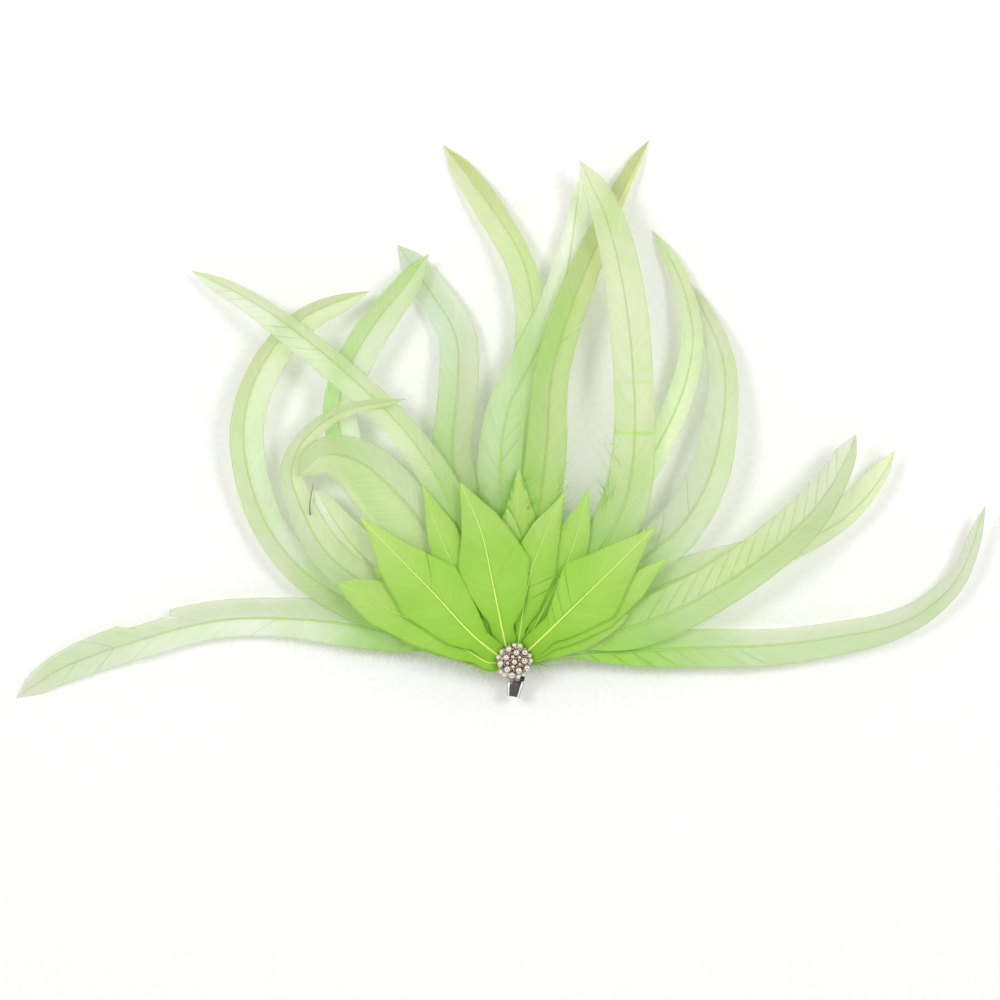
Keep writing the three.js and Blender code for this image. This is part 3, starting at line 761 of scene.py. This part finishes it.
def ball(centre, radius, rings, segments, squash=(1.0, 1.0, 1.0)):
    """A closed ball from a turned half circle, with its poles as single points."""
    points, faces = [], []
    for i in range(1, rings):
        lean = -math.pi / 2 + math.pi * i / rings
        for k in range(segments):
            turn = 2 * math.pi * k / segments
            points.append((math.cos(lean) * math.cos(turn), math.cos(lean) * math.sin(turn), math.sin(lean)))
    for i in range(rings - 2):
        for k in range(segments):
            a, b = i * segments + k, i * segments + (k + 1) % segments
            faces.append((a, b, b + segments, a + segments))
    low, high = len(points), len(points) + 1
    points += [(0.0, 0.0, -1.0), (0.0, 0.0, 1.0)]
    last = (rings - 2) * segments
    for k in range(segments):
        faces.append((low, (k + 1) % segments, k))
        faces.append((high, last + k, last + (k + 1) % segments))
    scaled = np.array(points) * radius * np.array(squash) + np.array(centre)
    return scaled.tolist(), faces


def joined(bodies):
    points, faces = [], []
    for body_points, body_faces in bodies:
        offset = len(points)
        points.extend(body_points)
        faces.extend([tuple(i + offset for i in face) for face in body_faces])
    return points, faces


def middle_of(node):
    low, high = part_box(node)
    return [(a + b) / 2 for a, b in zip(low, high)]


def ring_tube(centre, radius, wire, segments=24, sides=6, gap=0.0):
    """A closed wire ring lying flat about centre."""
    points, faces = [], []
    for k in range(segments):
        turn = 2 * math.pi * k / segments
        for j in range(sides):
            round_wire = 2 * math.pi * j / sides
            reach = radius + wire * math.cos(round_wire)
            points.append(
                (centre[0] + reach * math.cos(turn), centre[1] + reach * math.sin(turn), centre[2] + wire * math.sin(round_wire))
            )
    for k in range(segments):
        for j in range(sides):
            a, b = k * sides + j, k * sides + (j + 1) % sides
            c, d = ((k + 1) % segments) * sides + (j + 1) % sides, ((k + 1) % segments) * sides + j
            faces.append((a, d, c, b))
    return points, faces


# the plate's dark brown: champagne plating, darkened as painted shade for the gaps between the beads and pearls
champagne = metal_look("champagne_plate", srgb(170, 138, 104), srgb(118, 90, 66), 0.35, metallic=0.8)
# the settings' near-white colour: pale plating, with painted highlight for the beads' glints
bright_setting = metal_look("setting_plate", srgb(254, 248, 240), srgb(244, 228, 208), 0.15, grain=1500.0, metallic=0.5)
nacre = pearl_look()
glass = stone_look()

plate_low, plate_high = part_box("button_plate")
plate_r = (plate_high[0] - plate_low[0]) / 2 - 0.9 * MM
plate_base = plate_low[2]
plate_rise = plate_high[2] - plate_low[2] - 1.2 * MM


def plate_top(x, y):
    """Height of the domed plate's face, from its base."""
    return 1.2 * MM + plate_rise * (1 - min(1.0, math.hypot(x, y) / plate_r) ** 2)


def make_plate():
    profile = [(plate_r - 0.9 * MM, 0.0), (plate_r - 0.35 * MM, 0.08 * MM), (plate_r - 0.05 * MM, 0.4 * MM)]
    profile += [(plate_r, 0.7 * MM), (plate_r - 0.05 * MM, 1.05 * MM)]
    for i in range(11, -1, -1):
        r = (plate_r - 0.2 * MM) * i / 11
        profile.append((max(r, 0.02 * MM), plate_top(r, 0.0)))
    points, faces = turned(profile, 72, (0.0, 0.0, plate_base))
    piece = mesh_piece("button_base", points, faces, champagne)
    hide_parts("button_plate")
    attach(piece, "headpiece")


def make_pearls():
    names = sorted(n for n in nodes if n.startswith("pearl_"))
    rng = random.Random("pearls")
    for name in names:
        low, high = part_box(name)
        radius = (high[0] - low[0]) / 2
        squash = (1.0, rng.uniform(0.96, 1.0), rng.uniform(0.96, 1.0))
        points, faces = ball(middle_of(name), radius, 20, 28, squash)
        piece = mesh_piece(name.replace("pearl", "pearl_bead"), points, faces, nacre)
        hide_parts(name)
        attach(piece, "headpiece")
    return names


# how much wider than their seats the cut stones are
STONE_SPREAD = 1.25


def make_stones():
    names = sorted(n for n in nodes if n.startswith("rim_stone_"))
    for name in names:
        low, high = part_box(name)
        radius = (high[0] - low[0]) / 2 * STONE_SPREAD
        x, y, _ = middle_of(name)
        height = high[2] - low[2]
        profile = [(0.25, 0.0), (0.8, 0.28), (1.0, 0.5), (1.0, 0.6), (0.82, 0.82), (0.5, 1.0)]
        profile = [(r * radius, z * height) for r, z in profile]
        points, faces = turned(profile, 8, (x, y, low[2]))
        piece = mesh_piece(name.replace("rim_stone", "cut_stone"), points, faces, glass, False)
        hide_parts(name)
        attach(piece, "headpiece")
    return names


# [x, y, radius] in mm of the larger metal beads between the inner pearls
INNER_BEADS = (
    (-1.0, 2.2, 1.1),
    (2.7, 2.0, 1.1),
    (-3.9, -1.3, 1.1),
    (3.0, -2.0, 1.1),
    (-0.9, -3.3, 1.1),
    (5.6, 1.2, 0.8),
    (-3.4, -7.3, 0.8),
    (-7.0, 1.0, 0.8),
)


def make_settings(pearl_nodes, stone_nodes):
    """Wire rings under the pearls, prongs round the stones and small beads in the gaps between them."""
    bodies = []
    taken = []
    for name in pearl_nodes:
        low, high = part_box(name)
        x, y, z = middle_of(name)
        radius = (high[0] - low[0]) / 2
        taken.append((x, y, radius))
        bodies.append(ring_tube((x, y, low[2] + 0.35 * MM), radius * 0.78, 0.22 * MM))
    for name in stone_nodes:
        low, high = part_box(name)
        x, y, _ = middle_of(name)
        radius = (high[0] - low[0]) / 2 * STONE_SPREAD
        taken.append((x, y, radius))
        bodies.append(ring_tube((x, y, low[2] + 0.3 * MM), radius * 1.05, 0.14 * MM, 16, 5))
        for k in range(4):
            turn = math.pi / 4 + k * math.pi / 2
            at = (x + 1.04 * radius * math.cos(turn), y + 1.04 * radius * math.sin(turn), low[2] + 0.85 * MM)
            bodies.append(ball(at, 0.2 * MM, 6, 8, (1.0, 1.0, 1.6)))
    for x, y, radius in INNER_BEADS:
        taken.append((x * MM, y * MM, radius * MM))
        at = (x * MM, y * MM, plate_base + plate_top(x * MM, y * MM) + radius * 0.7 * MM)
        bodies.append(ball(at, radius * MM, 10, 14))
    rng = random.Random("beads")
    beads = 0
    for _ in range(4000):
        r, turn = plate_r * math.sqrt(rng.random()) * 0.97, rng.uniform(0, 2 * math.pi)
        x, y = r * math.cos(turn), r * math.sin(turn)
        radius = rng.uniform(0.4, 0.7) * MM
        room = min(math.hypot(x - a, y - b) - c for a, b, c in taken)
        if room < radius * 0.8 or r + radius > plate_r + 0.1 * MM:
            continue
        taken.append((x, y, radius))
        bodies.append(ball((x, y, plate_base + plate_top(x, y) + radius * 0.5), radius, 8, 12))
        beads += 1
        if beads == 46:
            break
    for k in range(30):
        turn = 2 * math.pi * k / 30
        at = (plate_r * math.cos(turn), plate_r * math.sin(turn), plate_base + 0.75 * MM)
        bodies.append(ball(at, 0.55 * MM, 8, 12))
    points, faces = joined(bodies)
    piece = mesh_piece("button_settings", points, faces, bright_setting)
    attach(piece, "headpiece")


make_plate()
make_settings(make_pearls(), make_stones())

# ---- felt pads ----


def felt_look():
    look = Look("felt_wool")
    at = object_coords(look)
    fibres = look.noise(look.add("Mapping", {"Vector": at, "Scale": (1.0, 0.3, 1.0)}).outputs[0], 2600.0, 4.0, 0.7)
    cloud = look.noise(at, 300.0, 2.0)
    colour = look.mix(look.ramp(cloud, 0.3, 0.7), srgb(150, 200, 70), srgb(168, 212, 90))
    colour = look.mix(look.ramp(fibres, 0.35, 0.7, 0.0, 0.5), colour, srgb(110, 160, 44))
    shader = look.add(
        "BsdfPrincipled",
        {"Base Color": colour, "Roughness": look.ramp(fibres, 0.3, 0.7, 0.85, 1.0), "Normal": look.bump(fibres, 0.6, 0.0002)},
    )
    shader.inputs["Sheen Weight"].default_value = 0.5
    shader.inputs["Sheen Roughness"].default_value = 0.6
    return look.finish(shader)


wool = felt_look()


def make_pad(name, node):
    """A felt disc with a slightly uneven cut edge and rounded faces."""
    rng = random.Random(name)
    low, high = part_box(node)
    radius = (high[0] - low[0]) / 2
    thick = high[2] - low[2]
    phases = [rng.uniform(0, 2 * math.pi) for _ in range(5)]

    def uneven(turn, z):
        return 1 - 0.006 * sum(1 + math.sin((3 + 5 * i) * turn + phase) for i, phase in enumerate(phases)) / 2

    profile = [(0.3, 0.0), (0.7, 0.0), (0.95, 0.0), (0.985, 0.1), (1.0, 0.35), (1.0, 0.65), (0.985, 0.9)]
    profile += [(0.95, 1.0), (0.7, 1.0), (0.3, 1.0)]
    profile = [(r * radius, z * thick) for r, z in profile]
    body = turned(profile, 90, (0.0, 0.0, low[2]), uneven)
    piece = mesh_piece(name, *body, wool)
    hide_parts(node)
    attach(piece, "headpiece")


make_pad("under_felt_disc", "felt_pad")
make_pad("upper_felt_disc", "top_felt")

# ---- spring clip ----

chrome = metal_look("clip_chrome", srgb(222, 216, 210), srgb(186, 178, 170), 0.12, 700.0, (1.0, 0.15, 1.0))
# painted highlight: the rolled rims' near-white, mostly unmetallic colour stands in for the chrome's bright reflection
bright_chrome = metal_look("rolled_rim_chrome", srgb(255, 254, 252), srgb(244, 242, 240), 0.2, 700.0, metallic=0.25)
spring_wire = metal_look("spring_wire", srgb(188, 186, 182), srgb(140, 138, 134), 0.28, 1600.0)


def dress_metal(node, look, bevel):
    """Worn edges on a CAD solid: its faces are joined again and its corners rounded."""
    obj = nodes[node]
    obj.data.materials.clear()
    obj.data.materials.append(look)
    weld = obj.modifiers.new("join", "WELD")
    weld.merge_threshold = 1e-6
    if bevel:
        rounding = obj.modifiers.new("round", "BEVEL")
        rounding.width = bevel
        rounding.segments = 3
        rounding.limit_method = "ANGLE"
        rounding.angle_limit = math.radians(40)
        rounding.harden_normals = True




def tab_rims():
    """Rounded rims along the turned-up sides of the thumb tab, shaped so that they fall outwards."""
    hinge = frame["joints"][0]
    pin = np.array(hinge["axis"], float)
    pin = pin / np.linalg.norm(pin) * (1 if pin[0] > 0 else -1)
    anchor = np.array(hinge["pos_m"], float)
    outward = np.cross(UP, pin)
    points = np.unique(np.round([tuple(v.co) for v in nodes["upper_jaw"].data.vertices], 6), axis=0)
    local = np.stack([(points - anchor) @ pin, (points - anchor) @ outward, points[:, 2]], 1)
    stations = []
    for reach in sorted({round(p[1], 4) for p in local if p[1] < -5.3 * MM and p[1] > -15.6 * MM}):
        near = local[np.abs(local[:, 1] - reach) < 0.06 * MM]
        top = near[:, 2].max()
        crest = near[near[:, 2] > top - 0.05 * MM]
        outer, inner = np.abs(crest[:, 0]).max(), np.abs(crest[:, 0]).min()
        if outer - inner > 0.8 * MM:
            stations.append((reach, top, inner, outer))
    (far, far_top, *far_sides), (near, near_top, *near_sides) = sorted(sorted(stations, key=lambda s: s[1])[-2:])
    on = 0.42
    onward = [b + (b - a) * on for a, b in zip((far, far_top, *far_sides), (near, near_top, *near_sides))]
    stations = [(far, far_top, *far_sides), (near, near_top, *near_sides), tuple(onward)]
    section = [(0.1, -1.5), (0.1, 0.24), (0.2, 0.34), (0.4, 0.32), (0.6, 0.25), (0.75, 0.14), (0.84, 0.0), (0.85, -1.5)]
    bodies = []
    for side in (-1, 1):
        rings = []
        for reach, top, inner, outer in stations:
            for across, above in section:
                x = side * (inner + (outer - inner) * across)
                rings.append(anchor * (1, 1, 0) + pin * x + outward * reach + UP * (top + above * MM))
        size, count = len(section), len(stations)
        faces = []
        for i in range(count - 1):
            for k in range(size):
                a, b = i * size + k, i * size + (k + 1) % size
                faces.append((a, b, b + size, a + size))
        faces.append(tuple(range(size))[::-1])
        faces.append(tuple((count - 1) * size + k for k in range(size)))
        if side > 0:
            faces = [face[::-1] for face in faces]
        bodies.append(([tuple(p) for p in rings], faces))
    points, faces = joined(bodies)
    piece = mesh_piece("thumb_tab_rims", points, faces, bright_chrome)
    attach(piece, "headpiece")


tab_rims()
dress_metal("upper_jaw", chrome, 0.00025)
dress_metal("lower_jaw", chrome, 0.0002)
dress_metal("hinge_pin", chrome, 0.00008)


def make_spring():
    """The clip's spring, its CAD coil with doubled points merged: one leg lies under the thumb tab, the other on the
    lower jaw.
    """
    mesh = nodes["torsion_spring"].data.copy()
    mesh.materials.clear()
    mesh.materials.append(spring_wire)
    solid = bmesh.new()
    solid.from_mesh(mesh)
    bmesh.ops.remove_doubles(solid, verts=solid.verts, dist=1e-6)
    solid.to_mesh(mesh)
    solid.free()
    mesh.polygons.foreach_set("use_smooth", [True] * len(mesh.polygons))
    piece = bpy.data.objects.new("coiled_spring", mesh)
    scene.collection.objects.link(piece)
    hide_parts("torsion_spring")
    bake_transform(piece)


make_spring()

# ---- fluff and loose barbs ----


def down_look(name, deep, pale, body=0.5):
    """Loose fibres, whose share of solid colour is body."""
    look = Look(name)
    at = object_coords(look)
    tone = look.noise(at, 160.0, 2.0)
    fine = look.noise(at, 1800.0, 2.0)
    colour = look.mix(look.ramp(tone, 0.35, 0.65), deep, pale)
    inputs = {"Base Color": colour, "Roughness": look.ramp(fine, 0.3, 0.7, 0.5, 0.7)}
    front = look.add("BsdfPrincipled", inputs)
    soft = look.add("BsdfTranslucent", {"Color": colour})
    fibre = look.add("MixShader", {0: 0.4, 1: front.outputs[0], 2: soft.outputs[0]})
    clear = look.add("BsdfTransparent")
    share = look.ramp(fine, 0.2, 0.8, body * 0.75, min(body * 1.25, 1.0))
    return look.finish(look.add("MixShader", {0: share, 1: clear.outputs[0], 2: fibre.outputs[0]}))


down = down_look("down_fibre", srgb(222, 242, 176), srgb(242, 250, 222))
lime_down = down_look("lime_fibre", srgb(170, 224, 76), srgb(196, 238, 112))


def wisp(parts, start, heading, length, rng, radius=0.06, rise=0.0, bend=0.9):
    """One loose fibre that wanders off from start."""
    steps = 8
    turn = heading
    curve = rng.uniform(-bend, bend) / steps
    at = np.array(start, float)
    line = [at.copy()]
    for i in range(steps):
        turn += curve + rng.uniform(-0.12, 0.12)
        at = at + length / steps * np.array((math.cos(turn), math.sin(turn), rise + rng.uniform(-0.12, 0.12)))
        at[2] = max(at[2], 0.3 * MM)
        line.append(at.copy())
    radii = np.linspace(radius, radius * 0.25, steps + 1) * MM
    tube(parts, line, radii, 0, 0.0, np.linspace(0, 1, steps + 1), sides=3)


def tuft_piece(name, tufts, look, over=False, radius=0.06):
    """Tufts of loose fibres, under their feathers or over them.

    Each is (feather node, side, from share, to share, count, length, spread).
    """
    rng = random.Random(name)
    parts = Parts()
    for node, side, begin, end, count, length, spread in tufts:
        feather = Feather(node, node.startswith("cover"))
        clumps = [(rng.uniform(begin, end), rng.uniform(-0.5, 0.5)) for _ in range(max(3, count // 14))]
        for _ in range(count):
            clump, lean = rng.choice(clumps)
            share = min(max(clump + rng.gauss(0, 0.02), 0.0), 1.0)
            at, along, across, up = (v[0] for v in feather.frame([share * feather.length]))
            reach = feather.reach([share * feather.length], side)[0] * rng.uniform(0.5, 1.0)
            start = at + side * reach * across + UP * (0.6 * MM if over else -0.06 * reach - 0.3 * MM)
            out = along * 0.9 + side * across * (0.9 + lean)
            heading = math.atan2(out[1], out[0]) + rng.gauss(0, spread)
            size = length * MM * rng.uniform(0.35, 1.0) ** 1.5 * rng.choice((0.7, 1.0, 1.3))
            rise = rng.uniform(0.0, 0.15) if over else rng.uniform(-0.35, 0.1)
            wisp(parts, start, heading, size, rng, radius, rise, 0.7 if over else 1.6)
    piece = parts.build(name, [look])
    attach(piece, "headpiece")


def root_fluff():
    """Short lime barbs that fill the gaps between the quills round the button."""
    rng = random.Random("root fluff")
    parts = Parts()
    for _ in range(620):
        turn = math.radians(rng.uniform(-14, 196))
        r = rng.uniform(7.0, 9.5) * MM
        start = (r * math.cos(turn), r * math.sin(turn), rng.uniform(11.9, 13.4) * MM)
        size = rng.uniform(6, 15) * MM
        wisp(parts, start, turn + rng.gauss(0, 0.16), size, rng, radius=0.16, rise=rng.uniform(-0.02, 0.06), bend=0.4)
    piece = parts.build("root_fluff", [lime_down])
    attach(piece, "headpiece")


root_fluff()
tuft_piece(
    "left_fluff",
    [
        ("cover_feather_01", LEFT, 0.05, 0.9, 900, 12.0, 0.6),
        ("plume_01", LEFT, 0.06, 0.42, 900, 11.0, 0.6),
        ("plume_01", LEFT, 0.3, 0.6, 120, 8.0, 0.4),
        ("cover_feather_02", LEFT, 0.05, 0.5, 120, 9.0, 0.5),
    ],
    down,
)
tuft_piece(
    "right_fluff",
    [
        ("cover_feather_13", RIGHT, 0.05, 0.95, 600, 12.0, 0.6),
        ("plume_18", RIGHT, 0.04, 0.3, 600, 10.0, 0.6),
        ("plume_18", RIGHT, 0.25, 0.45, 60, 7.0, 0.4),
    ],
    down,
)
root_down = [(f"cover_feather_{i:02d}", side, 0.05, 0.3, 18, 10.0, 0.15) for i in range(1, 14) for side in (LEFT, RIGHT)]


def stray_hair():
    """One dark stray hair that lies across the right of the fourth plume's middle."""
    feather = Feather("plume_04", False)
    line = []
    for share, right in ((0.553, 3.0), (0.575, 5.2), (0.597, 8.2), (0.618, 11.3)):
        at, _, across, up = (v[0] for v in feather.frame([share * feather.length]))
        line.append(at + across * (right * MM) + up * (1.6 * MM))
    t = np.linspace(0, len(line) - 1, 16)
    parts = Parts()
    tube(parts, smooth(np.array(line), t), np.linspace(0.34, 0.14, 16) * MM, 0, 0.0, t, sides=6)
    piece = parts.build("stray_hair", [down_look("dark_hair", srgb(84, 88, 60), srgb(120, 120, 84), 0.95)])
    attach(piece, "headpiece")


stray_hair()
inner_down = [(f"plume_{i:02d}", side, 0.2, 0.3, 30, 11.0, 0.25) for i in (9, 10, 11, 12, 13) for side in (LEFT, RIGHT)]
tuft_piece("root_barbs", root_down + inner_down, lime_down)
tuft_piece(
    "inner_barbs",
    [
        ("plume_09", LEFT, 0.3, 0.36, 26, 10.0, 0.3),
        ("plume_09", RIGHT, 0.28, 0.36, 40, 12.0, 0.3),
        ("plume_10", LEFT, 0.26, 0.33, 46, 11.0, 0.3),
        ("plume_10", RIGHT, 0.24, 0.32, 60, 13.0, 0.35),
        ("plume_12", LEFT, 0.24, 0.3, 60, 13.0, 0.35),
        ("plume_12", RIGHT, 0.25, 0.33, 50, 13.0, 0.35),
        ("plume_13", LEFT, 0.28, 0.36, 50, 14.0, 0.35),
        ("plume_13", LEFT, 0.4, 0.42, 12, 18.0, 0.3),
        ("plume_15", LEFT, 0.3, 0.38, 30, 11.0, 0.35),
        ("cover_feather_08", LEFT, 0.45, 0.95, 110, 11.0, 0.3),
        ("cover_feather_08", RIGHT, 0.45, 0.95, 110, 11.0, 0.3),
        ("cover_feather_07", LEFT, 0.6, 0.95, 50, 9.0, 0.3),
        ("cover_feather_09", RIGHT, 0.75, 0.95, 30, 8.0, 0.3),
    ],
    lime_down,
    over=True,
    radius=0.12,
)

# ---- stage ----


def floor_look():
    look = Look("table_top")
    grain = look.noise(look.add("NewGeometry").outputs[0], 400.0, 3.0)
    colour = look.mix(look.ramp(grain, 0.3, 0.7), srgb(244, 243, 240), srgb(248, 248, 246))
    shader = look.add(
        "BsdfPrincipled",
        {"Base Color": colour, "Roughness": 0.7, "Normal": look.bump(grain, 0.05, 0.0002)},
    )
    return look.finish(shader)


def make_floor():
    bpy.ops.mesh.primitive_plane_add(size=6.0, location=(0.0, 0.0, 0.0))
    floor = bpy.context.object
    floor.name = "table_top"
    floor.data.materials.append(floor_look())
    floor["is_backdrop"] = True


def area_light(name, place, aim, size, power):
    data = bpy.data.lights.new(name, "AREA")
    data.shape = "DISK"
    data.size = size
    data.energy = power
    light = bpy.data.objects.new(name, data)
    scene.collection.objects.link(light)
    light.location = place
    light.rotation_euler = (Vector(aim) - Vector(place)).to_track_quat("-Z", "Y").to_euler()


def make_camera():
    """Straight above the fan, the picture's up along +Y."""
    data = bpy.data.cameras.new("camera")
    data.lens = 127.6
    data.sensor_width = 36.0
    data.clip_start, data.clip_end = 0.1, 20.0
    camera = bpy.data.objects.new("camera", data)
    scene.collection.objects.link(camera)
    camera.location = (-0.0081, 0.0899, 2.0)
    scene.camera = camera


make_floor()
make_camera()
area_light("left_light", (-0.85, 0.45, 1.35), (0.0, 0.1, 0.0), 0.6, 9.4)
area_light("right_light", (0.85, 0.45, 1.35), (0.0, 0.1, 0.0), 0.6, 9.4)
area_light("front_light", (0.0, -1.1, 1.6), (0.0, 0.1, 0.0), 1.2, 5.6)


def make_world():
    """White surroundings, dimmer overhead and dark straight above, where the camera hangs."""
    world = bpy.data.worlds.new("studio")
    world.use_nodes = True
    tree = world.node_tree
    coords = tree.nodes.new("ShaderNodeTexCoord")
    split = tree.nodes.new("ShaderNodeSeparateXYZ")
    ceiling = tree.nodes.new("ShaderNodeMapRange")
    ramp = tree.nodes.new("ShaderNodeMapRange")
    for key, value in (("From Min", 0.985), ("From Max", 0.88), ("To Min", 0.06), ("To Max", 0.2)):
        ceiling.inputs[key].default_value = value
    for key, value in (("From Min", 0.7), ("From Max", 0.5), ("To Max", 1.0)):
        ramp.inputs[key].default_value = value
    tree.links.new(split.outputs[2], ceiling.inputs["Value"])
    tree.links.new(ceiling.outputs[0], ramp.inputs["To Min"])
    background = tree.nodes["Background"]
    tree.links.new(coords.outputs["Generated"], split.inputs[0])
    tree.links.new(split.outputs[2], ramp.inputs["Value"])
    tree.links.new(ramp.outputs[0], background.inputs[1])
    background.inputs[0].default_value = (1.0, 1.0, 1.0, 1.0)
    scene.world = world


make_world()
scene.view_settings.view_transform = "Standard"
scene.cycles.transparent_max_bounces = 40

boxes = {"cad": cad_box, "visual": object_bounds()}
{name: [list(corner) for corner in box] for name, box in boxes.items()}
